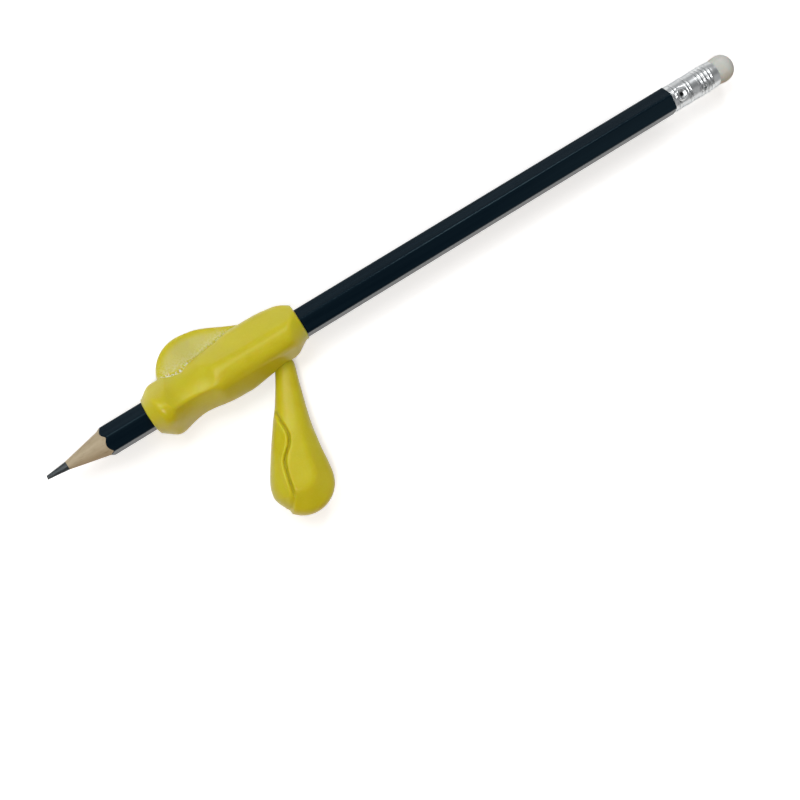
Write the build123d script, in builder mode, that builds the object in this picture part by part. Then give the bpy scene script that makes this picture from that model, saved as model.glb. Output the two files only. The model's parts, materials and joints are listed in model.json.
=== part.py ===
"""A pencil with a moulded rubber writing grip pushed onto it.

The grip is a soft three-sided sleeve with three hollowed beds, a wing that stands up between two of
them, and a pear-shaped tail on a thin neck. It lies on its far side: +X runs from the pencil's point
to its eraser, +Y towards the wing, and +Z is up. The origin is the middle of the outline, on the
surface that the part lies on. Sizes are in millimetres. Distances along the pencil are measured from
its point, and those along the grip from its nose.
"""

import os
from math import cos, radians, sin, sqrt, tan

from build123d import *

# Pencil: a quarter-inch hexagon, seven and a half inches long with its eraser
PENCIL_LENGTH = 190.5
ACROSS_FLATS = 6.35
CORNER_ROUND = 0.7
LACQUER_THICKNESS = 0.12
HEXAGON_TURN = 80.0
LEAD_DIAMETER = 2.0
LEAD_SHOWN = 5.05
POINT_DIAMETER = 0.9
WEAR_TILT = 10.0
CONE_HALF_ANGLE = 12.2
CONE_LENGTH = 14.0
TRIM_HALF_ANGLE = 29.0

# Ferrule and eraser
FERRULE_LENGTH = 13.8
FERRULE_DIAMETER = 6.6
FERRULE_WALL = 0.3
TENON_LENGTH = 6.5
RING_RADIUS = 0.16
FRONT_RINGS_AT = 1.5
FRONT_RING_GAP = 3.5
REAR_RINGS_AT = 8.3
REAR_RING_PITCH = 1.05
REAR_RING_COUNT = 4
DIMPLE_COUNT = 2
DIMPLE_AT = 2.95
DIMPLE_RADIUS = 1.0
DIMPLE_DEPTH = 0.18
ERASER_SHOWN = 6.4
ERASER_END_ROUND = 2.6

# Grip sleeve: a rounded triangle round a bore, whose top corner is low at the nose and rises behind it
GRIP_AT = 25.7
GRIP_LENGTH = 39.4
BORE_CLEARANCE = 0.06
RIDGE_ANGLE = -5.0
TOP_ANGLE = 112.0
FAR_ANGLE = 232.0
NOSE = {"corner_reach": 3.2, "top_reach": 1.75, "corner_radius": 4.4}
WAIST = {"corner_reach": 3.1, "top_reach": 1.85, "corner_radius": 4.25}
WAIST_AT = 8.0
BARREL = {"corner_reach": 3.0, "top_reach": 3.0, "corner_radius": 4.05}
BARREL_AT = 20.0
BACK = {"corner_reach": 2.8, "top_reach": 2.75, "corner_radius": 3.7}

# Both ends of the sleeve are tapered: half-widths of the mouth, its middle, and how fast the taper widens
NOSE_TAPER = {"middle": -0.45, "width": 4.3, "height": 5.7, "slope": 0.72, "round": 0.8}
BACK_TAPER = {"middle": 0.9, "width": 4.6, "height": 4.8, "slope": 0.62, "round": 0.5}

# Beds: each is hollowed by a ring whose centre is set away from the bed, so that it fades out sideways
NEAR_BED = {"angle": 69.0, "offset": 2.2, "at": 10.3, "radius": 12.5, "floor": 4.45}
FAR_BED = {"angle": 165.0, "offset": 1.4, "at": 13.0, "radius": 13.0, "floor": 4.8}
LOWER_BED = {"angle": 292.0, "offset": 12.85, "at": 12.0, "radius": 12.0, "floor": 4.95}

# Wing between the near bed and the far bed, leaning away from the near one
WING_FRONT_AT = 5.3
WING_PEAK_AT = 15.8
WING_BACK_AT = 31.5
WING_REACH = 11.55
WING_BACK_REACH = 6.0
WING_ROOT = 3.0
WING_LEAN = 14.0
WING_THICKNESS = 2.0
WING_SET_BACK = 2.0
WING_EDGE_ROUND = 0.85

# Tail: a flattened pear on a thin neck, leaning towards the pencil's point
TAIL_FROM_BACK = 8.1
TAIL_ROOT_REACH = 6.0
TAIL_ROOT_DROP = 1.6
TAIL_LEAN = 24.0
TAIL_LENGTH = 33.6
NECK_RADIUS = 2.2
NECK_LENGTH = 6.0
NECK_EMBED = 1.2
BULB_RADIUS = 7.0
BULB_AT = 26.3
BULB_FLATNESS = 0.85

# Sizes that follow from the ones above
hexagon_radius = ACROSS_FLATS / sqrt(3)
corner_radius = hexagon_radius - CORNER_ROUND * (2 / sqrt(3) - 1)
bore_radius = corner_radius + BORE_CLEARANCE
wood_radius = hexagon_radius - LACQUER_THICKNESS * 2 / sqrt(3)
wood_corner_round = CORNER_ROUND - LACQUER_THICKNESS
ferrule_radius = FERRULE_DIAMETER / 2
tenon_radius = ferrule_radius - FERRULE_WALL
eraser_at = PENCIL_LENGTH - ERASER_SHOWN
ferrule_at = eraser_at - FERRULE_LENGTH
wood_end = ferrule_at + TENON_LENGTH
lean = radians(TAIL_LEAN)
wing_lean = radians(WING_LEAN)

# Where the pencil's axis lies: the nose and the bulb touch the surface, and the outline is centred
far_reach = NOSE["corner_radius"] - NOSE["corner_reach"] * cos(radians(FAR_ANGLE))
tail_reach = TAIL_ROOT_REACH + BULB_AT * cos(lean) + TAIL_LENGTH - BULB_AT
TIP_X = -PENCIL_LENGTH / 2
AXIS_Y = (tail_reach - WING_REACH) / 2
AXIS_Z = far_reach
pencil_axis = Axis((TIP_X, AXIS_Y, AXIS_Z), (1, 0, 0))
tail_at = GRIP_AT + GRIP_LENGTH - TAIL_FROM_BACK
tail_root = Vector(TIP_X + tail_at, AXIS_Y - TAIL_ROOT_REACH, BULB_RADIUS * BULB_FLATNESS)
tail_direction = Vector(-sin(lean), -cos(lean), 0)
tail_across = Vector(cos(lean), -sin(lean), 0)


def across(distance):
    """The plane square to the pencil, with Y and Z as its own axes."""
    return Plane((TIP_X + distance, AXIS_Y, AXIS_Z), x_dir=(0, 1, 0), z_dir=(1, 0, 0))


def along(distance):
    """A level plane on the pencil's axis, that starts at a distance."""
    return Plane((TIP_X + distance, AXIS_Y, AXIS_Z))


def around(reach, angle):
    """A point in an across plane, by its angle round the pencil from +Z towards +Y."""
    return (reach * sin(radians(angle)), reach * cos(radians(angle)))


def hexagon(radius, corner_round):
    """A hexagon with rounded corners, as the pencil lies."""
    with BuildSketch(across(0)) as outline:
        RegularPolygon(radius, 6, rotation=HEXAGON_TURN)
        fillet(outline.vertices(), corner_round)
    return outline.sketch


def three_sided(distance, section):
    """The grip's section: a triangle with round corners."""
    with BuildSketch(across(distance)) as outline:
        with BuildLine():
            Polyline(
                around(section["corner_reach"], RIDGE_ANGLE),
                around(section["top_reach"], TOP_ANGLE),
                around(section["corner_reach"], FAR_ANGLE),
                close=True,
            )
        make_face()
        offset(amount=section["corner_radius"], kind=Kind.ARC)
    return outline.sketch


def mouth(distance, taper, run):
    """An oval across the pencil, widened by the taper over a run."""
    widening = 1 + taper["slope"] * run / taper["width"]
    with BuildSketch(across(distance)) as outline:
        with Locations((taper["middle"], 0)):
            Ellipse(taper["width"] * widening, taper["height"] * widening)
    return outline.sketch


def tail_centre(distance):
    """A point on the tail's middle line, which rises from its root and levels out at the bulb."""
    rest = max(0.0, 1 - distance / BULB_AT)
    return tail_root + tail_direction * distance - Vector(0, 0, TAIL_ROOT_DROP * rest * rest)


def tail_section(distance):
    """The tail's section at a distance from its root: a smooth flare, then a domed end."""
    share = max(0.0, min(1.0, distance / BULB_AT)) ** 1.15
    flare = share * share * (3 - 2 * share)
    dome = max(0.0, (distance - BULB_AT) / (TAIL_LENGTH - BULB_AT))
    radius = (NECK_RADIUS + (BULB_RADIUS - NECK_RADIUS) * flare) * sqrt(1 - dome * dome)
    place = Plane(tail_centre(distance), x_dir=tail_across, z_dir=tail_direction)
    with BuildSketch(place) as outline:
        Ellipse(radius, radius * BULB_FLATNESS)
    return outline.sketch


# The space left by the sharpener: a cone, a steeper trim that reaches the paint, and the pencil behind it
with BuildPart() as sharpened:
    rim = hexagon_radius + 1
    cone_at = LEAD_SHOWN - LEAD_DIAMETER / 2 / tan(radians(CONE_HALF_ANGLE))
    cone_rim = (CONE_LENGTH - cone_at) * tan(radians(CONE_HALF_ANGLE))
    with BuildSketch(along(0)):
        with BuildLine():
            Polyline(
                (cone_at, 0),
                (CONE_LENGTH, cone_rim),
                (CONE_LENGTH + (rim - cone_rim) / tan(radians(TRIM_HALF_ANGLE)), rim),
                (PENCIL_LENGTH, rim),
                (PENCIL_LENGTH, 0),
                close=True,
            )
        make_face()
    revolve(axis=pencil_axis)

# Graphite rod, tapered where it is bare and worn to a slanted flat at the point
with BuildPart() as lead:
    with BuildSketch(along(0)):
        with BuildLine():
            Polyline(
                (0, 0),
                (0, POINT_DIAMETER / 2),
                (LEAD_SHOWN, LEAD_DIAMETER / 2),
                (wood_end, LEAD_DIAMETER / 2),
                (wood_end, 0),
                close=True,
            )
        make_face()
    revolve(axis=pencil_axis)
    tilt = radians(WEAR_TILT)
    worn_at = pencil_axis.position + Vector(POINT_DIAMETER / 2 * tan(tilt), 0, 0)
    split(bisect_by=Plane(worn_at, z_dir=(cos(tilt), -sin(tilt), 0)), keep=Keep.TOP)

# The whole wooden casing with its turned tenon, before it is parted at the glue line
with BuildPart() as casing:
    extrude(hexagon(wood_radius, wood_corner_round), amount=ferrule_at)
    with BuildSketch(across(ferrule_at)):
        Circle(tenon_radius)
    extrude(amount=TENON_LENGTH)
    with BuildSketch(across(0)):
        Circle(LEAD_DIAMETER / 2)
    extrude(amount=wood_end, mode=Mode.SUBTRACT)
    add(sharpened.part, mode=Mode.INTERSECT)

# The glue line runs from corner to corner
glue_angle = radians(HEXAGON_TURN + 30)
glue_plane = Plane(pencil_axis.position, x_dir=(1, 0, 0), z_dir=(0, cos(glue_angle), sin(glue_angle)))

with BuildPart() as slat_upper:
    add(casing.part)
    split(bisect_by=glue_plane, keep=Keep.TOP)

with BuildPart() as slat_lower:
    add(casing.part)
    split(bisect_by=glue_plane, keep=Keep.BOTTOM)

# Lacquer coat: ends in shallow scallops at the sharpener's trim
with BuildPart() as lacquer:
    extrude(hexagon(hexagon_radius, CORNER_ROUND), amount=ferrule_at)
    extrude(hexagon(wood_radius, wood_corner_round), amount=ferrule_at, mode=Mode.SUBTRACT)
    add(sharpened.part, mode=Mode.INTERSECT)

# Ferrule: a thin tube with two rings beside a row of punched dents, and a crimped band at the eraser
with BuildPart() as ferrule:
    with BuildSketch(across(ferrule_at)):
        Circle(ferrule_radius)
        Circle(tenon_radius, mode=Mode.SUBTRACT)
    extrude(amount=FERRULE_LENGTH)
    front_rings = [FRONT_RINGS_AT, FRONT_RINGS_AT + FRONT_RING_GAP]
    rear_rings = [REAR_RINGS_AT + REAR_RING_PITCH * i for i in range(REAR_RING_COUNT)]
    for ring_at in front_rings + rear_rings:
        with Locations(across(ferrule_at + ring_at)):
            Torus(ferrule_radius, RING_RADIUS, mode=Mode.SUBTRACT)
    with Locations(across(ferrule_at + DIMPLE_AT)):
        with PolarLocations(ferrule_radius + DIMPLE_RADIUS - DIMPLE_DEPTH, DIMPLE_COUNT, start_angle=90):
            Sphere(DIMPLE_RADIUS, mode=Mode.SUBTRACT)

# Eraser plug: its hidden half fills the ferrule behind the tenon, its shown end is as wide as the ferrule
with BuildPart() as eraser:
    with BuildSketch(across(wood_end)):
        Circle(tenon_radius)
    extrude(amount=eraser_at - wood_end)
    with BuildSketch(across(eraser_at)):
        Circle(ferrule_radius)
    extrude(amount=ERASER_SHOWN)
    fillet(eraser.faces().sort_by(Axis.X)[-1].edges(), ERASER_END_ROUND)

# Wing blade, rounded along its rim
wing_plane = Plane(
    (TIP_X + GRIP_AT, AXIS_Y + WING_ROOT, AXIS_Z - WING_SET_BACK),
    x_dir=(1, 0, 0),
    z_dir=(0, sin(wing_lean), cos(wing_lean)),
)
wing_height = (WING_REACH - WING_ROOT - WING_EDGE_ROUND) / cos(wing_lean) + WING_EDGE_ROUND
wing_back_height = (WING_BACK_REACH - WING_ROOT) / cos(wing_lean)
with BuildPart() as wing:
    with BuildSketch(wing_plane):
        with BuildLine():
            EllipticalCenterArc(
                (WING_PEAK_AT, 0),
                WING_PEAK_AT - WING_FRONT_AT,
                wing_height,
                start_angle=90,
                arc_size=90,
            )
            slope = (WING_BACK_AT - WING_PEAK_AT) / 3
            Bezier(
                (WING_PEAK_AT, wing_height),
                (WING_PEAK_AT + slope, wing_height),
                (WING_BACK_AT - 1.35 * slope, wing_height - 0.55 * (wing_height - wing_back_height)),
                (WING_BACK_AT, wing_back_height),
            )
            Polyline((WING_BACK_AT, wing_back_height), (WING_BACK_AT, 0), (WING_FRONT_AT, 0))
        make_face()
    extrude(amount=WING_THICKNESS / 2, both=True)
    blade_sides = wing.faces().filter_by(Axis((0, 0, 0), wing_plane.z_dir))
    fillet(blade_sides.edges().filter_by(GeomType.LINE, reverse=True), WING_EDGE_ROUND)

# The space inside the tapers of the sleeve's two ends
grip_back = GRIP_AT + GRIP_LENGTH
with BuildPart() as nose_space:
    loft([mouth(GRIP_AT, NOSE_TAPER, 0), mouth(grip_back, NOSE_TAPER, GRIP_LENGTH)], ruled=True)

with BuildPart() as back_space:
    loft([mouth(GRIP_AT, BACK_TAPER, GRIP_LENGTH), mouth(grip_back, BACK_TAPER, 0)], ruled=True)

# Grip sleeve: its tapered ends, its three beds, its wing, and the bore for the pencil
with BuildPart() as grip_body:
    loft(
        [
            three_sided(GRIP_AT, NOSE),
            three_sided(GRIP_AT + WAIST_AT, WAIST),
            three_sided(GRIP_AT + BARREL_AT, BARREL),
            three_sided(grip_back, BACK),
        ]
    )
    add(nose_space.part, mode=Mode.INTERSECT)
    fillet(grip_body.edges(Select.NEW), NOSE_TAPER["round"])
    add(back_space.part, mode=Mode.INTERSECT)
    fillet(grip_body.edges(Select.NEW), BACK_TAPER["round"])
    for bed in (NEAR_BED, FAR_BED, LOWER_BED):
        with Locations(across(GRIP_AT + bed["at"])):
            with Locations(around(-bed["offset"], bed["angle"])):
                Torus(bed["floor"] + bed["offset"] + bed["radius"], bed["radius"], mode=Mode.SUBTRACT)
    add(wing.part)
    with BuildSketch(across(GRIP_AT)):
        Circle(bore_radius)
    extrude(amount=GRIP_LENGTH, mode=Mode.SUBTRACT)

# Tail neck: the thin part that bends, rooted on the outside of the sleeve
with BuildPart() as tail_neck:
    loft([tail_section(at) for at in (-NECK_EMBED, NECK_LENGTH / 2, NECK_LENGTH)])
    add(grip_body.part, mode=Mode.SUBTRACT)

# Tail bulb: the pear at the end of the neck
with BuildPart() as tail_bulb:
    flank = [NECK_LENGTH + (BULB_AT - NECK_LENGTH) * i / 5 for i in range(6)]
    dome = [BULB_AT + (TAIL_LENGTH - BULB_AT) * sin(radians(turn)) for turn in (25, 45, 62, 75, 84)]
    loft([tail_section(at) for at in flank + dome])

os.makedirs("parts", exist_ok=True)

lead.part.label = "lead"
slat_upper.part.label = "slat_upper"
slat_lower.part.label = "slat_lower"
lacquer.part.label = "lacquer"
ferrule.part.label = "ferrule"
eraser.part.label = "eraser"
grip_body.part.label = "grip_body"
tail_neck.part.label = "tail_neck"
tail_bulb.part.label = "tail_bulb"

for piece in (lead, slat_upper, slat_lower, lacquer, ferrule, eraser, grip_body, tail_neck, tail_bulb):
    export_step(piece.part, f"parts/{piece.part.label}.step")
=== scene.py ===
"""Looks of a pencil that carries a moulded rubber writing grip.

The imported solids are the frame. The pencil's lead, wood and lacquer stay as they are and get materials.
The grip, its tail, the ferrule and the eraser are built here as finer meshes that stand for their solids.
Shapes are written in millimetres, measured from the grip's nose, the tail's root or the ferrule's front,
and turned into metres when their meshes are made.
"""

import json
import math

import bmesh
import bpy
import numpy as np
from mathutils import Matrix, Vector


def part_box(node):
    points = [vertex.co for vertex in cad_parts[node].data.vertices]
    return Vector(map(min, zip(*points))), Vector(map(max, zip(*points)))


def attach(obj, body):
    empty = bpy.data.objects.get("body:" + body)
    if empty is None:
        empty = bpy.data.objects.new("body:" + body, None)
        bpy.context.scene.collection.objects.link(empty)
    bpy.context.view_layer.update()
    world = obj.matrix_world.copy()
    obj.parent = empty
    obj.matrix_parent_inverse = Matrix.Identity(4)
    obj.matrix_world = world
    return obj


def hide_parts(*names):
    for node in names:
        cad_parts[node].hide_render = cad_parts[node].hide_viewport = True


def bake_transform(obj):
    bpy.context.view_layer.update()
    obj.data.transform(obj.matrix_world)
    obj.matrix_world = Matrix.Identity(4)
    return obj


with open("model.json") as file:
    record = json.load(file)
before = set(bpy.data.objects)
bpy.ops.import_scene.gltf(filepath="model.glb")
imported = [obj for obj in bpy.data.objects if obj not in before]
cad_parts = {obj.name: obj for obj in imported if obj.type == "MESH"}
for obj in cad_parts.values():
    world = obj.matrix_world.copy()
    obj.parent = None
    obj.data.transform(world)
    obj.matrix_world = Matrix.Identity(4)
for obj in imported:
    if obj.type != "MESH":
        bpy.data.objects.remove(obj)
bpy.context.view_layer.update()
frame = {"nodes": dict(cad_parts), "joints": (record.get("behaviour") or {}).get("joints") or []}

MM = 0.001

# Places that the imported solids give
PENCIL_LENGTH = 190.5
ferrule_low, ferrule_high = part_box("ferrule")
eraser_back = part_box("eraser")[1].x
axis_y = (ferrule_low.y + ferrule_high.y) / 2
axis_z = (ferrule_low.z + ferrule_high.z) / 2
tip = Vector((eraser_back - PENCIL_LENGTH * MM, axis_y, axis_z))
nose = Vector((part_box("grip_body")[0].x, axis_y, axis_z))
ferrule_front = Vector((ferrule_low.x, axis_y, axis_z))
joints = {joint["name"]: joint for joint in frame["joints"]}
bulb_low, bulb_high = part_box("tail_bulb")
tail_root = Vector(joints["tail_swing"]["pos_m"])
tail_root.z = (bulb_low.z + bulb_high.z) / 2
tail_across = Vector(joints["tail_fold"]["axis"]).normalized()
tail_along = Vector((0, 0, 1)).cross(-tail_across)

# Grip sleeve: a triangle with round corners, cut to a cone at its nose and at its back
GRIP_LENGTH = 39.6
CORNER_ANGLES = (-14.0, 112.0, 243.0)
CORNER_REACH_AT = (0.0, 8.0, 13.0, 17.0, 31.0, 38.0)
CORNER_REACHES = (
    (3.2, 3.1, 3.06, 3.02, 2.85, 2.75),
    (1.75, 1.85, 2.2, 3.05, 3.7, 3.1),
    (3.1, 3.05, 3.3, 3.97, 2.35, 2.3),
)
NOSE_RADIUS, BACK_RADIUS = 4.4, 3.7
NOSE_CONE = {"at": 0.0, "middle": -0.35, "radius": 4.15, "slope": 0.75, "squeeze": 0.75, "edge": 0.7}
BACK_CONE = {"at": 39.6, "middle": 0.8, "radius": 4.0, "slope": -0.6, "squeeze": 1.0, "edge": 0.4}
END_ROUND, END_LEAN = 0.3, 0.17
HEXAGON_FLAT, HEXAGON_ROUND, HEXAGON_TURN = 3.175, 0.7, 80.0
BORE_GAP, COLLAR_WALL, COLLAR_BLEND = 0.03, 0.26, 0.5

# Beds hollowed out of the sleeve: near, far and lower. Their edges soften towards the back and at the nose
BEDS = (
    {"angle": 40.0, "offset": 6.73, "at": 10.45, "radius": 11.5, "floor": 4.35, "edge": 0.15, "fade": 1.0},
    {"angle": 165.0, "offset": 1.4, "at": 13.0, "radius": 13.0, "floor": 4.8, "edge": 0.9, "fade": 1.0},
    {"angle": 300.0, "offset": 12.85, "at": 9.9, "radius": 11.0, "floor": 4.85, "edge": 0.45, "fade": 0.5},
)
BED_FADE, FADED_EDGE = (12.0, 21.0), 2.6
FRONT_FADE, FRONT_FADE_X, FRONT_FADE_Y = 0.8, (6.0, 2.5), (-0.6, 2.4)

# Wing: its outline, and a blade that is thick at its base and leans away above it
WING_FRONT, WING_PEAK, WING_BACK = 5.3, 15.4, 29.8
WING_ROOT, WING_REACH, WING_BACK_REACH = 3.0, 12.3, 6.6
WING_FULLNESS, WING_STEPS = 0.9, 24
WING_PEAK_PULL, WING_BACK_PULL, WING_BACK_RISE = 0.33, 0.54, 0.41
WING_FACE_Y, WING_FACE_Z, WING_FACE_LEAN = 4.6, 1.3, 0.446
WING_SET, WING_SET_OVER = 2.0, (10.5, 17.0)
WING_BACK_Z = -4.5
WING_ROUND, WING_BLEND = 0.65, 0.3

# Tail: its outline to either side of its middle, the crease on its near face, and the flat above its end
TAIL_RIGHT = np.array([
    (-3.0, 2.5), (0.0, 2.65), (5.0, 3.1), (12.9, 4.1), (18.8, 5.45),
    (22.9, 6.7), (26.0, 7.4), (34.0, 7.4),
])
TAIL_LEFT = np.array([
    (-3.0, 2.0), (1.2, 2.1), (8.6, 3.3), (11.9, 4.2), (18.4, 5.65),
    (25.0, 6.85), (27.0, 6.95), (34.0, 6.95),
])
TAIL_DOME_AT, TAIL_DOME_LENGTH = 26.6, 7.35
TAIL_FLATNESS = 0.83
CREASE = np.array([
    (7.0, -4.4), (9.7, -3.4), (12.5, -2.5), (14.9, -1.6), (16.3, -1.4), (18.2, -1.8), (20.3, -2.8),
    (22.0, -3.2), (24.7, -3.0), (27.4, -2.6), (29.7, -2.3), (33.0, -2.9),
])
CREASE_DEPTH, CREASE_LEAD, CREASE_WALL, CREASE_SLOPE = 0.85, 0.22, 0.55, 0.8
CREASE_RISE, CREASE_START, CREASE_STOP, CREASE_LEFT = (0.2, 1.7), (8.5, 11.5), (30.0, 28.0), 0.15
LOBE_SWELL, LOBE_AT, LOBE_WIDTH = 0.25, 1.15, 0.45
LOBE_CREST, LOBE_LEAN, LOBE_EDGE = 1.3, 0.85, 0.3
LOBE_START, LOBE_STOP, LOBE_FADE = (15.0, 10.0), (27.0, 31.0), 3.0
LOBE_SHORT, LOBE_SHORT_ALONG, LOBE_SHORT_BESIDE = 0.5, (29.5, 31.5), (0.0, 0.6)
FLAT_FROM, FLAT_TO, FLAT_EDGE = (12.5, 3.35), (28.2, 5.5), 0.3
FLAT_ROUND, FLAT_MIDDLE = 3.4, -0.7
FLAT_TAPER, FLAT_TAPER_LENGTH = 0.18, 7.0
FLAT_START, FLAT_FADE = (18.0, 11.0), 4.0
END_SLOPE, END_EDGE = 0.7, 0.6
ROOT_DROP, DROP_LENGTH = 1.6, 26.3

# Ferrule, measured from its front, and the eraser's shown end, measured from the ferrule's back
FERRULE_LENGTH, FERRULE_RADIUS, FERRULE_WALL = 13.8, 3.3, 0.3
FERRULE_STEPS, FERRULE_SEGMENTS = 231, 160
RINGS_AT = (1.5, 5.0, 8.25, 9.3, 10.35, 11.4)
RING_DEPTH, RING_WIDTH, RING_SWELL, RING_SWELL_AT = 0.16, 0.2, 0.07, 2.2
DENTS = (
    {"at": 2.5, "angle": 100.0, "depth": 0.27, "radius": 0.85},
    {"at": 2.5, "angle": 280.0, "depth": 0.27, "radius": 0.85},
    {"at": 9.0, "angle": 134.0, "depth": 0.24, "radius": 0.42},
    {"at": 9.0, "angle": 314.0, "depth": 0.24, "radius": 0.42},
)
DENT_SWELL, DENT_SWELL_AT, DENT_SWELL_WIDTH = 0.15, 1.45, 0.3
DENT_RING, DENT_RING_AT, DENT_RING_WIDTH = 0.06, 2.1, 0.22
PINCH_FROM, PINCH_RADIUS = 12.5, 3.22
ERASER_SHOWN, ERASER_RADIUS = 5.6, 3.38
ERASER_STEPS, ERASER_SEGMENTS = 60, 96
ERASER_SWELL_LENGTH, ERASER_TUCK = 2.2, 0.08
ERASER_DOME_AT, ERASER_DOME_POWER, ERASER_TIP = 2.5, 2.2, 0.05
ERASER_WEAR, ERASER_WEAR_OVER = 0.05, (1.5, 3.5)
PLUG_LENGTH, PLUG_GAP, PLUG_BEVEL, PLUG_END = 5.6, 0.02, 0.3, 0.4

# Marks that the materials read: frost with painted sheen on the wing, painted glints along its base,
# painted shade along the tail's crease, and painted shade in the ferrule's dents and ring grooves
NEAR_FACE = (0.8, 1.2)
FROST_AND_SHEEN_FROM_SLEEVE, FROST_AND_SHEEN_FROM_RIM = (0.2, 0.7), (0.8, 2.2)
GLINT_START, GLINT_STOP = (5.6, 7.1), (26.0, 23.0)
GLINT_WIDTH, GLINT_DEPTH, GLINT_SCATTER, GLINT_REACH = 0.28, 0.3, 0.4, 1.0
SHADE_FROM, SHADE_AT, SHADE_WIDTH = 10.0, 0.22, 0.28
PAINTED_SHADE_DEPTHS = (0.12, 0.26)

# Meshing: the grid's step, the boxes round the shapes, and how points are drawn onto the surface
VOXEL = 0.2
GRIP_BOX = (-1.8, -8.6, -7.4), (41.2, 12.8, 8.4)
TAIL_BOX = (-3.0, -7.6, -6.8), (34.4, 8.2, 6.8)
DRAWS, NUDGE, LEAST_SLOPE = 2, 0.02, 0.2


def smooth_min(a, b, width):
    """The nearer of two surfaces, blended where they meet."""
    share = np.clip(0.5 + 0.5 * (b - a) / width, 0.0, 1.0)
    return b + (a - b) * share - width * share * (1 - share)


def smooth_max(a, b, width):
    return -smooth_min(-a, -b, width)


def ramp(value, start, end):
    """From 0 at the start to 1 at the end, and level beyond both."""
    return np.clip((value - start) / (end - start), 0, 1)


def smooth_ramp(value, start, end):
    share = ramp(value, start, end)
    return share**2 * (3 - 2 * share)


def rounded_corner(a, b, radius):
    """Inside both surfaces, with their corner rounded."""
    outside = np.hypot(np.maximum(a + radius, 0), np.maximum(b + radius, 0))
    return np.minimum(np.maximum(a, b) + radius, 0) + outside - radius


def polygon_distance(across, up, corners):
    """Signed distance to a closed polygon, negative inside."""
    nearest = np.full(np.shape(across), np.inf)
    inside = np.zeros(np.shape(across), bool)
    for (ax, ay), (bx, by) in zip(corners, [*corners[1:], corners[0]]):
        ex, ey = bx - ax, by - ay
        share = np.clip(((across - ax) * ex + (up - ay) * ey) / (ex * ex + ey * ey), 0, 1)
        nearest = np.minimum(nearest, np.hypot(across - ax - share * ex, up - ay - share * ey))
        rise = np.where(ey == 0, 1, ey)
        inside ^= ((ay > up) != (by > up)) & (across < ax + (up - ay) / rise * ex)
    return np.where(inside, -nearest, nearest)


def on_circle(angles):
    """Points at angles round the pencil, from +Z towards +Y, as (y, z)."""
    turned = np.radians(angles)
    return np.stack([np.sin(turned), np.cos(turned)], axis=-1)


def smooth_interp(at, places, values):
    """A smooth curve through the values at the places, level at both ends."""
    places, values = np.array(places), np.array(values)
    slopes = np.zeros(len(places))
    slopes[1:-1] = (values[2:] - values[:-2]) / (places[2:] - places[:-2])
    at = np.clip(at, places[0], places[-1])
    start = np.clip(np.searchsorted(places, at, side="right") - 1, 0, len(places) - 2)
    run = (places[1:] - places[:-1])[start]
    share = (at - places[start]) / run
    rest = 1 - share
    return (
        values[start] * rest**2 * (1 + 2 * share)
        + values[start + 1] * share**2 * (1 + 2 * rest)
        + run * share * rest * (slopes[start] * rest - slopes[start + 1] * share)
    )


def bezier(start, pull_start, pull_end, end, count):
    share = np.linspace(0, 1, count)[:, None]
    rest = 1 - share
    points = [np.array(p) for p in (start, pull_start, pull_end, end)]
    return (
        rest**3 * points[0]
        + 3 * rest**2 * share * points[1]
        + 3 * rest * share**2 * points[2]
        + share**3 * points[3]
    )


def wing_outline():
    turn = np.linspace(math.pi, math.pi / 2, WING_STEPS)
    front = np.stack(
        [
            WING_PEAK - (WING_PEAK - WING_FRONT) * np.abs(np.cos(turn)) ** WING_FULLNESS,
            WING_ROOT + (WING_REACH - WING_ROOT) * np.sin(turn) ** WING_FULLNESS,
        ],
        axis=-1,
    )
    run, fall = WING_BACK - WING_PEAK, WING_REACH - WING_BACK_REACH
    back = bezier(
        (WING_PEAK, WING_REACH),
        (WING_PEAK + WING_PEAK_PULL * run, WING_REACH),
        (WING_PEAK + WING_BACK_PULL * run, WING_BACK_REACH + WING_BACK_RISE * fall),
        (WING_BACK, WING_BACK_REACH),
        WING_STEPS,
    )
    return np.concatenate([front, back[1:], [(WING_BACK, WING_ROOT)]])


HEXAGON = on_circle(90 - HEXAGON_TURN + 60 * np.arange(6))
WING_OUTLINE = wing_outline()


def sleeve_field(x, y, z):
    """The three-sided sleeve with its beds, before the wing and the bore."""
    corners = []
    for angle, reaches in zip(CORNER_ANGLES, CORNER_REACHES):
        reach = smooth_interp(x, CORNER_REACH_AT, reaches)
        corner_y, corner_z = on_circle(angle)
        corners.append((reach * corner_y, reach * corner_z))
    share = np.clip(x / GRIP_LENGTH, 0, 1)
    field = polygon_distance(y, z, corners) - NOSE_RADIUS - (BACK_RADIUS - NOSE_RADIUS) * share
    for cone in (NOSE_CONE, BACK_CONE):
        reach = np.hypot(y - cone["middle"], z * cone["squeeze"])
        outside = reach - cone["radius"] - cone["slope"] * (x - cone["at"])
        field = smooth_max(field, outside / math.hypot(1, cone["slope"]), cone["edge"])
    field = smooth_min(field, bore_field(y, z) - COLLAR_WALL, COLLAR_BLEND)
    field = rounded_corner(field, -x - END_LEAN * z, END_ROUND)
    field = rounded_corner(field, x + END_LEAN * z - GRIP_LENGTH, END_ROUND)
    fade = np.square(ramp(x, *BED_FADE)) + FRONT_FADE * ramp(x, *FRONT_FADE_X) * ramp(y, *FRONT_FADE_Y)
    for bed in BEDS:
        middle_y, middle_z = -bed["offset"] * on_circle(bed["angle"])
        from_middle = np.hypot(y - middle_y, z - middle_z)
        ring = bed["floor"] + bed["offset"] + bed["radius"]
        cut = bed["radius"] - np.hypot(x - bed["at"], from_middle - ring)
        field = smooth_max(field, cut, bed["edge"] + bed["fade"] * fade * FADED_EDGE)
    return field


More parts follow.
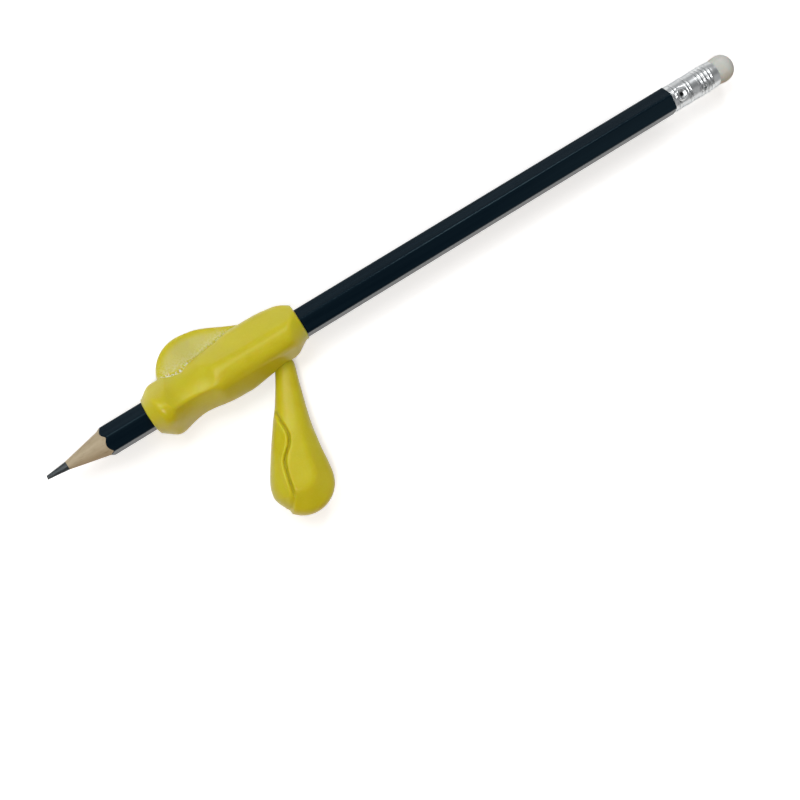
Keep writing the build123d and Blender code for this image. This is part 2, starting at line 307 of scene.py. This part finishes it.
def wing_field(x, y, z):
    top = WING_FACE_Z - WING_SET * smooth_ramp(x, *WING_SET_OVER)
    face = (z - top + WING_FACE_LEAN * (y - WING_FACE_Y)) / math.hypot(1, WING_FACE_LEAN)
    rim = polygon_distance(x, y, WING_OUTLINE)
    return rounded_corner(rim, np.maximum(face, WING_BACK_Z - z), WING_ROUND)


def bore_field(y, z):
    corner = (HEXAGON_FLAT - HEXAGON_ROUND) * 2 / math.sqrt(3)
    return corner * polygon_distance(y / corner, z / corner, HEXAGON) - HEXAGON_ROUND - BORE_GAP


def grip_field(x, y, z):
    field = smooth_min(sleeve_field(x, y, z), wing_field(x, y, z), WING_BLEND)
    return np.maximum(field, -bore_field(y, z))


def crease_shape(beyond):
    """The crease's section: a steep wall on one side of it, and a long slope on the other."""
    wall = smooth_ramp(beyond, -CREASE_LEAD, CREASE_WALL - CREASE_LEAD)
    slope = 1 - ramp(beyond, CREASE_WALL / 2, CREASE_WALL / 2 + CREASE_SLOPE)
    return wall * slope**2


def tail_field(along, across, up):
    """A pear on a neck, flattened above its end, with a crease on its near face."""
    right = smooth_interp(along, *TAIL_RIGHT.T)
    left = smooth_interp(along, *TAIL_LEFT.T)
    half = (right + left) / 2
    past = np.maximum(along - TAIL_DOME_AT, 0) * half / TAIL_DOME_LENGTH
    before = np.maximum(-along, 0)
    beside = across - (right - left) / 2
    raised = up + ROOT_DROP * np.square(np.maximum(1 - along / DROP_LENGTH, 0))
    pear = np.sqrt(past**2 + before**2 + beside**2 + (raised / TAIL_FLATNESS) ** 2) - half
    (flat_start, low), (flat_end, high) = FLAT_FROM, FLAT_TO
    slope = (high - low) / (flat_end - flat_start)
    above = up - low - slope * (along - flat_start)
    pear = smooth_max(pear, above / math.hypot(1, slope), FLAT_EDGE)
    from_end = along - flat_end + FLAT_ROUND
    rim = np.hypot(np.maximum(from_end, 0), np.maximum(across - FLAT_MIDDLE, 0)) - FLAT_ROUND
    rim = rim + FLAT_TAPER * np.clip(-from_end, 0, FLAT_TAPER_LENGTH)
    rim = rim - FLAT_FADE * np.square(ramp(along, *FLAT_START))
    pear = smooth_max(pear, (above + END_SLOPE * rim) / math.hypot(1, END_SLOPE), END_EDGE)
    near_side = ramp(up, *CREASE_RISE) * ramp(along, *CREASE_START)
    near_side = near_side * np.maximum(ramp(along, *CREASE_STOP), CREASE_LEFT)
    crease = smooth_interp(along, *CREASE.T)
    beyond = crease - across
    crest = np.maximum(half**2 - past**2 - np.square(crease - LOBE_CREST - (right - left) / 2), 0)
    crest = TAIL_FLATNESS * np.sqrt(crest) - (raised - up)
    side = (up - crest + LOBE_LEAN * (beyond - LOBE_CREST)) / math.hypot(1, LOBE_LEAN)
    side = side - LOBE_FADE * (ramp(along, *LOBE_START) ** 2 + ramp(along, *LOBE_STOP) ** 2)
    pear = smooth_max(pear, side, LOBE_EDGE)
    pear = pear + LOBE_SHORT * ramp(along, *LOBE_SHORT_ALONG) * ramp(beyond, *LOBE_SHORT_BESIDE)
    lobe = LOBE_SWELL * np.exp(-np.square((beyond - LOBE_AT) / LOBE_WIDTH))
    return pear + (CREASE_DEPTH * crease_shape(beyond) - lobe) * near_side


def surface_net(field, low, high, step):
    """Vertices and quads of the zero surface of a field, by surface nets, drawn onto the surface."""
    counts = [int(math.ceil((b - a) / step)) + 1 for a, b in zip(low, high)]
    axes = [a + step * np.arange(n) for a, n in zip(low, counts)]
    values = field(*np.meshgrid(*axes, indexing="ij"))
    cells = tuple(n - 1 for n in counts)
    total = np.zeros(cells + (3,))
    crossings = np.zeros(cells, int)
    for axis in range(3):
        others = [k for k in range(3) if k != axis]
        for first in (0, 1):
            for second in (0, 1):
                start = [slice(0, -1)] * 3
                start[others[0]] = slice(first, cells[others[0]] + first)
                start[others[1]] = slice(second, cells[others[1]] + second)
                end = list(start)
                end[axis] = slice(1, None)
                a, b = values[tuple(start)], values[tuple(end)]
                crossed = (a < 0) != (b < 0)
                total[..., axis] += np.where(crossed, a / np.where(crossed, a - b, 1), 0)
                total[..., others[0]] += first * crossed
                total[..., others[1]] += second * crossed
                crossings += crossed
    used = crossings > 0
    number = np.full(cells, -1)
    number[used] = np.arange(used.sum())
    vertices = np.array(low) + step * (np.argwhere(used) + total[used] / crossings[used][:, None])
    quads = []
    for axis in range(3):
        j, k = (axis + 1) % 3, (axis + 2) % 3
        inner = [slice(1, -1)] * 3
        inner[axis] = slice(0, -1)
        after = list(inner)
        after[axis] = slice(1, None)
        a, b = values[tuple(inner)] < 0, values[tuple(after)] < 0
        for leaving in (True, False):
            at = np.argwhere((a & ~b) if leaving else (~a & b))
            at[:, j] += 1
            at[:, k] += 1
            ring = []
            for dj, dk in ((1, 1), (0, 1), (0, 0), (1, 0)):
                corner = at.copy()
                corner[:, j] -= dj
                corner[:, k] -= dk
                ring.append(number[tuple(corner.T)])
            quads.append(np.stack(ring if leaving else ring[::-1], axis=1))
    for _ in range(DRAWS):
        here = field(*vertices.T)
        slope = np.stack(
            [(field(*(vertices + nudge).T) - here) / NUDGE for nudge in NUDGE * np.eye(3)], axis=1
        )
        move = slope * (here / np.maximum(np.square(slope).sum(1), LEAST_SLOPE))[:, None]
        vertices -= np.clip(move, -step / 2, step / 2)
    return vertices, np.concatenate(quads).tolist()


def mesh_piece(name, vertices, faces):
    """A smooth-shaded object in the shared frame, from vertices in metres."""
    mesh = bpy.data.meshes.new(name)
    mesh.from_pydata(vertices.tolist(), [], faces)
    mesh.polygons.foreach_set("use_smooth", np.ones(len(mesh.polygons), bool))
    mesh.update()
    piece = bpy.data.objects.new(name, mesh)
    bpy.context.scene.collection.objects.link(piece)
    return piece


def lathe(profile, segments, swell=None):
    """Rings of quads round the pencil's axis, from a closed profile or one capped at its ends."""
    closed = tuple(profile[0]) == tuple(profile[-1])
    rings = np.array(profile[:-1] if closed else profile)
    turn = 2 * math.pi * np.arange(segments) / segments
    x = np.repeat(rings[:, :1], segments, axis=1)
    radius = np.repeat(rings[:, 1:], segments, axis=1)
    if swell:
        radius = radius + swell(x, np.broadcast_to(turn, x.shape))
    vertices = np.stack([x, radius * np.cos(turn), radius * np.sin(turn)], axis=-1).reshape(-1, 3)
    count = len(rings)
    faces = []
    for ring in range(count if closed else count - 1):
        start, after = ring * segments, (ring + 1) % count * segments
        for k in range(segments):
            next_k = (k + 1) % segments
            faces.append((start + k, start + next_k, after + next_k, after + k))
    if not closed:
        faces.append(tuple(range(segments)))
        faces.append(tuple(range((count - 1) * segments, count * segments)))
    return vertices, faces


def face_outward(piece):
    shape = bmesh.new()
    shape.from_mesh(piece.data)
    bmesh.ops.recalc_face_normals(shape, faces=shape.faces)
    shape.to_mesh(piece.data)
    shape.free()


def ferrule_profile():
    """The ferrule's wall: its outside with rings and a pinched back, and its plain inside."""
    x = np.linspace(0, FERRULE_LENGTH, FERRULE_STEPS)
    radius = np.full(len(x), FERRULE_RADIUS)
    for ring_at in RINGS_AT:
        beside = np.abs(x - ring_at)
        radius -= RING_DEPTH * np.exp(-np.square(beside / RING_WIDTH))
        radius += RING_SWELL * np.exp(-np.square(beside / RING_WIDTH - RING_SWELL_AT))
    radius -= (FERRULE_RADIUS - PINCH_RADIUS) * smooth_ramp(x, PINCH_FROM, FERRULE_LENGTH)
    inside = radius[[-1, 0]] - FERRULE_WALL
    outside = list(zip(x.tolist(), radius.tolist()))
    return [*outside, (FERRULE_LENGTH, inside[0]), (0.0, inside[1]), outside[0]]


def dent_swell(x, turn):
    """How far the punched dents move the ferrule's wall in, and their rims out."""
    moved = np.zeros(x.shape)
    for dent in DENTS:
        round_axis = np.angle(np.exp(1j * (turn - math.radians(dent["angle"]))))
        away = np.hypot(x - dent["at"], FERRULE_RADIUS * round_axis) / dent["radius"]
        moved -= dent["depth"] * np.exp(-(away**4))
        moved += DENT_SWELL * np.exp(-np.square((away - DENT_SWELL_AT) / DENT_SWELL_WIDTH))
        moved -= DENT_RING * np.exp(-np.square((away - DENT_RING_AT) / DENT_RING_WIDTH))
    return moved


def eraser_profile():
    """The hidden plug, then the shown end: drawn in by the ferrule, swelling behind it, and domed."""
    plug_radius = FERRULE_RADIUS - FERRULE_WALL - PLUG_GAP
    plug_start = FERRULE_LENGTH - PLUG_LENGTH
    plug = [
        (plug_start, plug_radius - PLUG_BEVEL),
        (plug_start + PLUG_BEVEL, plug_radius),
        (FERRULE_LENGTH - PLUG_END, plug_radius),
    ]
    shown = ERASER_SHOWN * np.sin(np.linspace(0, math.pi / 2, ERASER_STEPS))
    tucked = PINCH_RADIUS - ERASER_TUCK
    radius = tucked + (ERASER_RADIUS - tucked) * smooth_ramp(shown, 0, ERASER_SWELL_LENGTH)
    past = ramp(shown, ERASER_DOME_AT, ERASER_SHOWN)
    radius *= (1 - past**ERASER_DOME_POWER) ** (1 / ERASER_DOME_POWER)
    end = list(zip((FERRULE_LENGTH + shown).tolist(), np.maximum(radius, ERASER_TIP).tolist()))
    return [*plug, *end]


def eraser_swell(x, turn):
    """Slight unevenness of the rubbed end."""
    worn = ERASER_WEAR * ramp(x - FERRULE_LENGTH, *ERASER_WEAR_OVER)
    return worn * (np.sin(2 * turn + 0.6 * x) + 0.5 * np.sin(3 * turn + 1.0))


class Look:
    """A material, with short calls for building its nodes."""

    def __init__(self, name, **values):
        self.material = bpy.data.materials.new(name)
        self.material.use_nodes = True
        self.nodes = self.material.node_tree.nodes
        self.links = self.material.node_tree.links
        self.shader = self.nodes["Principled BSDF"]
        self.feed(self.shader, {key.replace("_", " ").title(): value for key, value in values.items()})

    def feed(self, node, inputs):
        """Link the inputs that are sockets, and set those that are values."""
        for key, value in inputs.items():
            if isinstance(value, bpy.types.NodeSocket):
                self.links.new(value, node.inputs[key])
            else:
                node.inputs[key].default_value = value

    def add(self, kind, inputs, output=0, **settings):
        node = self.nodes.new("ShaderNode" + kind)
        for key, value in settings.items():
            setattr(node, key, value)
        self.feed(node, inputs)
        return node.outputs[output]

    def places(self, stretch=(1, 1, 1)):
        """Places on the piece in metres, each axis multiplied by its stretch."""
        at = self.add("TexCoord", {}, "Object")
        return self.add("Mapping", {"Vector": at, "Scale": stretch})

    def noise(self, places, scale, detail=3, roughness=0.55):
        inputs = {"Vector": places, "Scale": scale, "Detail": detail, "Roughness": roughness}
        return self.add("TexNoise", inputs)

    def span(self, value, low, high, to_low=0.0, to_high=1.0):
        """A value's stretch from low to high, mapped to another stretch and held at its ends."""
        inputs = {"Value": value, "From Min": low, "From Max": high, "To Min": to_low, "To Max": to_high}
        return self.add("MapRange", inputs)

    def times(self, a, b):
        return self.add("Math", {0: a, 1: b}, operation="MULTIPLY")

    def plus(self, a, b):
        return self.add("Math", {0: a, 1: b}, operation="ADD")

    def mix(self, factor, a, b):
        inputs = {"Factor": factor, "A": a, "B": b}
        return self.add("Mix", inputs, "Result", data_type="RGBA")

    def mark(self, name):
        """A value that the mesh keeps at each of its points."""
        return self.add("Attribute", {}, "Fac", attribute_name=name)

    def finish(self, **inputs):
        self.feed(self.shader, {key.replace("_", " ").title(): value for key, value in inputs.items()})
        return self.material

    def bump(self, height, distance, strength=1.0):
        return self.add("Bump", {"Height": height, "Strength": strength, "Distance": distance})


def rubber_look():
    """Soft yellow rubber: matt, faintly mottled, frosted on the wing with a painted pale sheen, with
    painted glints along its base and painted shade along the tail's crease.
    """
    look = Look("grip_rubber_look", subsurface_weight=0.55, subsurface_scale=0.0035)
    look.shader.inputs["Subsurface Radius"].default_value = (1.0, 0.5, 0.05)
    look.shader.inputs["Specular IOR Level"].default_value = 0.36
    places = look.places()
    mottle = look.noise(places, 160, 4)
    grain = look.noise(places, 2400, 2)
    specks = look.noise(places, 1900, 1)
    frost_and_sheen = look.mark("frost_and_sheen")
    crease = look.mark("crease")
    colour = look.mix(look.span(mottle, 0.3, 0.7), (0.575, 0.505, 0.008, 1), (0.63, 0.562, 0.018, 1))
    colour = look.mix(look.span(grain, 0.5, 0.75, 0, 0.2), colour, (0.66, 0.6, 0.08, 1))
    # Frost with painted sheen: the wing's face is painted paler and greyer, and is made rougher below
    colour = look.mix(look.times(frost_and_sheen, 0.65), colour, (0.62, 0.58, 0.2, 1))
    # Painted shade: the rubber is painted darker along the tail's crease
    colour = look.mix(look.times(crease, 0.45), colour, (0.32, 0.25, 0.003, 1))
    # Painted glints: near-white specks along the wing's base
    painted_glint = look.times(look.mark("painted_glint"), look.span(specks, 0.42, 0.58))
    colour = look.mix(painted_glint, colour, (0.95, 0.93, 0.8, 1))
    height = look.plus(look.times(grain, 0.5), look.times(painted_glint, 2.5))
    roughness = look.plus(look.span(mottle, 0.3, 0.7, 0.31, 0.37), look.times(frost_and_sheen, 0.15))
    return look.finish(base_color=colour, roughness=roughness, normal=look.bump(height, 0.00006))


def lacquer_look():
    """Near-black navy lacquer: glossy, with a faint orange peel, drawn streaks and tiny scuffs."""
    look = Look("navy_lacquer_look")
    look.shader.inputs["Specular IOR Level"].default_value = 0.21
    look.shader.inputs["Specular Tint"].default_value = (0.55, 0.88, 1.0, 1)
    streaks = look.noise(look.places((25, 900, 900)), 1, 4)
    peel = look.noise(look.places(), 700, 2)
    scuffs = look.noise(look.places((300, 2500, 2500)), 1, 5, 0.7)
    colour = look.mix(look.span(streaks, 0.35, 0.7), (0.0015, 0.006, 0.012, 1), (0.003, 0.009, 0.016, 1))
    colour = look.mix(look.span(scuffs, 0.68, 0.78, 0, 0.25), colour, (0.05, 0.065, 0.075, 1))
    roughness = look.span(streaks, 0.3, 0.7, 0.16, 0.24)
    return look.finish(base_color=colour, roughness=roughness, normal=look.bump(peel, 0.00001))


def wood_look():
    """Pale cut wood: long grain, pores, and the sharpener's fine rings."""
    look = Look("wood_look")
    grain = look.noise(look.places((45, 700, 700)), 1, 5, 0.65)
    pores = look.noise(look.places((350, 3200, 3200)), 1, 3)
    rings = look.noise(look.places((2600, 120, 120)), 1, 2)
    colour = look.mix(look.span(grain, 0.3, 0.7), (0.51, 0.42, 0.28, 1), (0.41, 0.33, 0.21, 1))
    colour = look.mix(look.span(pores, 0.6, 0.75, 0, 0.5), colour, (0.28, 0.2, 0.11, 1))
    height = look.plus(look.times(rings, 0.6), look.times(pores, -0.4))
    return look.finish(base_color=colour, roughness=look.span(grain, 0.3, 0.7, 0.6, 0.75),
                       normal=look.bump(height, 0.00004))


def graphite_look():
    """Graphite: dark grey with a dull shine and sharpening streaks."""
    look = Look("graphite_look", metallic=0.35)
    streaks = look.noise(look.places((200, 2500, 2500)), 1, 4, 0.65)
    colour = look.mix(look.span(streaks, 0.3, 0.7), (0.018, 0.025, 0.029, 1), (0.048, 0.06, 0.066, 1))
    roughness = look.span(streaks, 0.3, 0.7, 0.32, 0.5)
    return look.finish(base_color=colour, roughness=roughness, normal=look.bump(streaks, 0.00003))


def ferrule_look():
    """Bright rolled aluminium: fine marks round it, dull patches, and painted shade in its dents and ring
    grooves.
    """
    look = Look("ferrule_look", metallic=1.0)
    look.shader.inputs["Specular Tint"].default_value = (0.42, 0.44, 0.45, 1)
    rolled = look.noise(look.places((5000, 150, 150)), 1, 3)
    patches = look.noise(look.places(), 350, 3)
    colour = look.mix(look.span(patches, 0.35, 0.7), (0.74, 0.755, 0.76, 1), (0.62, 0.635, 0.64, 1))
    # Painted shade: near black where the wall lies deep, in the dents and ring grooves
    colour = look.mix(look.mark("painted_dent_shade"), colour, (0.03, 0.032, 0.034, 1))
    roughness = look.plus(look.span(patches, 0.3, 0.7, 0.26, 0.36), look.times(rolled, 0.06))
    return look.finish(base_color=colour, roughness=roughness, normal=look.bump(rolled, 0.0000015))


def eraser_look():
    """Pale grey rubber, chalky, with faint rubbed marks at its end."""
    look = Look("eraser_look", subsurface_weight=0.2, subsurface_scale=0.001)
    patches = look.noise(look.places(), 420, 4)
    grain = look.noise(look.places(), 3500, 3)
    smudges = look.noise(look.places((900, 300, 300)), 1, 4, 0.7)
    colour = look.mix(look.span(patches, 0.35, 0.65), (0.585, 0.6, 0.565, 1), (0.66, 0.665, 0.62, 1))
    colour = look.mix(look.span(smudges, 0.6, 0.75, 0, 0.3), colour, (0.36, 0.35, 0.33, 1))
    return look.finish(base_color=colour, roughness=look.span(patches, 0.3, 0.7, 0.7, 0.85),
                       normal=look.bump(grain, 0.00004))


def keep_mark(piece, name, values):
    """Keep a value at each point of a mesh, for its material."""
    mark = piece.data.attributes.new(name, "FLOAT", "POINT")
    mark.data.foreach_set("value", np.clip(values, 0, 1).astype(np.float32))


# Grip sleeve with its wing
grip_points, grip_quads = surface_net(grip_field, *GRIP_BOX, VOXEL)
grip = mesh_piece("grip_moulding", np.array(nose) + MM * grip_points, grip_quads)
grip_x, grip_y, grip_z = grip_points.T
sleeve_gap, wing_gap = sleeve_field(grip_x, grip_y, grip_z), wing_field(grip_x, grip_y, grip_z)
rim_gap = -polygon_distance(grip_x, grip_y, WING_OUTLINE)
near_face = ramp(grip_z - WING_BACK_Z, *NEAR_FACE)
on_wing = ramp(sleeve_gap, *FROST_AND_SHEEN_FROM_SLEEVE) * near_face
# Frost with painted sheen on the wing's face
keep_mark(grip, "frost_and_sheen", on_wing * ramp(rim_gap, *FROST_AND_SHEEN_FROM_RIM))
# Painted glints: bright specks along the wing's base line, and scattered a little onto the wing
along_base = ramp(grip_x, *GLINT_START) * ramp(grip_x, *GLINT_STOP)
painted_glint = np.exp(-np.square((sleeve_gap - wing_gap) / GLINT_WIDTH))
painted_glint = painted_glint + GLINT_SCATTER * on_wing * np.exp(-sleeve_gap / GLINT_REACH)
keep_mark(grip, "painted_glint", painted_glint * along_base * near_face * (np.abs(wing_gap) < GLINT_DEPTH))
keep_mark(grip, "crease", np.zeros(len(grip_points)))
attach(grip, "grip")
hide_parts("grip_body")

# Tail
tail_points, tail_quads = surface_net(tail_field, *TAIL_BOX, VOXEL)
tail_axes = np.array([tail_along, tail_across, Vector((0, 0, 1))])
tail = mesh_piece("tail_moulding", np.array(tail_root) + MM * tail_points @ tail_axes, tail_quads)
along, across, up = tail_points.T
beyond_crease = smooth_interp(along, *CREASE.T) - across
keep_mark(tail, "frost_and_sheen", np.zeros(len(tail_points)))
keep_mark(tail, "painted_glint", np.zeros(len(tail_points)))
# Painted shade along the tail's crease
shaded = (up > 0) * (along > SHADE_FROM) * ramp(along, *CREASE_STOP)
keep_mark(tail, "crease", np.exp(-np.square((beyond_crease - SHADE_AT) / SHADE_WIDTH)) * shaded)
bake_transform(tail)
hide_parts("tail_neck", "tail_bulb")

# Ferrule and eraser
ferrule_points, ferrule_faces = lathe(ferrule_profile(), FERRULE_SEGMENTS, dent_swell)
ferrule = mesh_piece("crimped_ferrule", np.array(ferrule_front) + MM * ferrule_points, ferrule_faces)
face_outward(ferrule)
# Painted shade where the ferrule's wall lies deep: its dents and ring grooves
keep_mark(ferrule, "painted_dent_shade", ramp(FERRULE_RADIUS - np.hypot(*ferrule_points.T[1:]), *PAINTED_SHADE_DEPTHS))
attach(ferrule, "pencil")
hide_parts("ferrule")

eraser_points, eraser_faces = lathe(eraser_profile(), ERASER_SEGMENTS, eraser_swell)
eraser = mesh_piece("rubbed_eraser", np.array(ferrule_front) + MM * eraser_points, eraser_faces)
face_outward(eraser)
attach(eraser, "pencil")
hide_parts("eraser")

# Materials
rubber = rubber_look()
for piece in (grip, tail):
    piece.data.materials.append(rubber)
ferrule.data.materials.append(ferrule_look())
eraser.data.materials.append(eraser_look())
wood = wood_look()
for node, look in {
    "lacquer": lacquer_look(),
    "slat_upper": wood,
    "slat_lower": wood,
    "lead": graphite_look(),
}.items():
    frame["nodes"][node].data.materials.clear()
    frame["nodes"][node].data.materials.append(look)

# Floor: white where it is seen, and a plain tan to the light that it throws back
FLOOR_HALF, FLOOR_GLOW = 3.0, 0.42
FLOOR_SEEN, FLOOR_THROWN = (0.95, 0.95, 0.95, 1), (0.55, 0.43, 0.3, 1)
floor_corners = FLOOR_HALF * np.array([(-1, -1, 0), (1, -1, 0), (1, 1, 0), (-1, 1, 0)])
floor = mesh_piece("floor", floor_corners, [(0, 1, 2, 3)])
floor_look = Look("floor_look", roughness=0.8)
floor_look.shader.inputs["Specular IOR Level"].default_value = 0.0
floor_look.shader.inputs["Emission Color"].default_value = (1, 1, 1, 1)
path = floor_look.add("LightPath", {}, "Is Camera Ray").node
seen = path.outputs["Is Camera Ray"]
for ray in ("Is Glossy Ray", "Is Transmission Ray"):
    seen = floor_look.add("Math", {0: seen, 1: path.outputs[ray]}, operation="MAXIMUM")
shown = floor_look.mix(seen, FLOOR_THROWN, FLOOR_SEEN)
floor.data.materials.append(
    floor_look.finish(base_color=shown, emission_strength=floor_look.times(seen, FLOOR_GLOW))
)

# Camera: the photo's viewing angle, placed from the pencil's point
ROLL, TILT = math.radians(32.2901), math.radians(12.7463)
FROM_TIP = Vector((0.1608, -26.4336, 331.5193)) * MM
FOCAL_SHARE = 1500 / 800
view_right = Vector((math.cos(TILT) * math.cos(ROLL), -math.sin(ROLL), math.cos(ROLL) * math.sin(TILT)))
view_up = Vector((math.cos(TILT) * math.sin(ROLL), math.cos(ROLL), math.sin(ROLL) * math.sin(TILT)))
view_turn = Matrix((view_right, view_up, view_right.cross(view_up))).transposed().to_4x4()
camera_data = bpy.data.cameras.new("camera")
camera_data.lens = FOCAL_SHARE * camera_data.sensor_width
camera = bpy.data.objects.new("camera", camera_data)
camera.matrix_world = Matrix.Translation(tip + FROM_TIP) @ view_turn
bpy.context.scene.collection.objects.link(camera)
bpy.context.scene.camera = camera

# Light: a sky that brightens towards +Y, and lamps placed from the grip's nose
scene = bpy.context.scene
scene.view_settings.view_transform = "Standard"
world = bpy.data.worlds.new("studio")
scene.world = world
world.use_nodes = True
background = world.node_tree.nodes["Background"]
background.inputs["Color"].default_value = (0.96, 0.98, 1, 1)
towards = world.node_tree.nodes.new("ShaderNodeTexCoord")
parts = world.node_tree.nodes.new("ShaderNodeSeparateXYZ")
fall = world.node_tree.nodes.new("ShaderNodeMapRange")
for socket, value in {"From Min": -0.9, "From Max": 0.9, "To Min": 0.06, "To Max": 0.42}.items():
    fall.inputs[socket].default_value = value
world.node_tree.links.new(towards.outputs["Generated"], parts.inputs[0])
world.node_tree.links.new(parts.outputs["Y"], fall.inputs["Value"])
world.node_tree.links.new(fall.outputs["Result"], background.inputs["Strength"])


def area_light(name, direction, distance, size, power, colour=(1, 1, 1)):
    data = bpy.data.lights.new(name, "AREA")
    data.shape = "DISK"
    data.size = size
    data.energy = power
    data.color = colour
    lamp = bpy.data.objects.new(name, data)
    aim = Vector(direction).normalized()
    lamp.location = nose + aim * distance
    lamp.rotation_mode = "QUATERNION"
    lamp.rotation_quaternion = aim.to_track_quat("Z", "Y")
    scene.collection.objects.link(lamp)
    return lamp


area_light("key", (-0.2, 0.5, 0.84), distance=0.9, size=0.6, power=2.9)
area_light("front", (-0.3, -0.22, 0.92), distance=0.9, size=0.2, power=2.4)
area_light("back", (0.42, 0.51, 0.75), distance=0.9, size=0.2, power=1.0)
bounce = area_light("bounce", (0.1, -0.85, 0.45), distance=0.35, size=0.3, power=0.16, colour=(1, 0.6, 0.2))
bounce.visible_glossy = False
card = area_light("card", (0.77, -0.53, 0.36), distance=0.346, size=0.25, power=0.055)
card.visible_diffuse = False
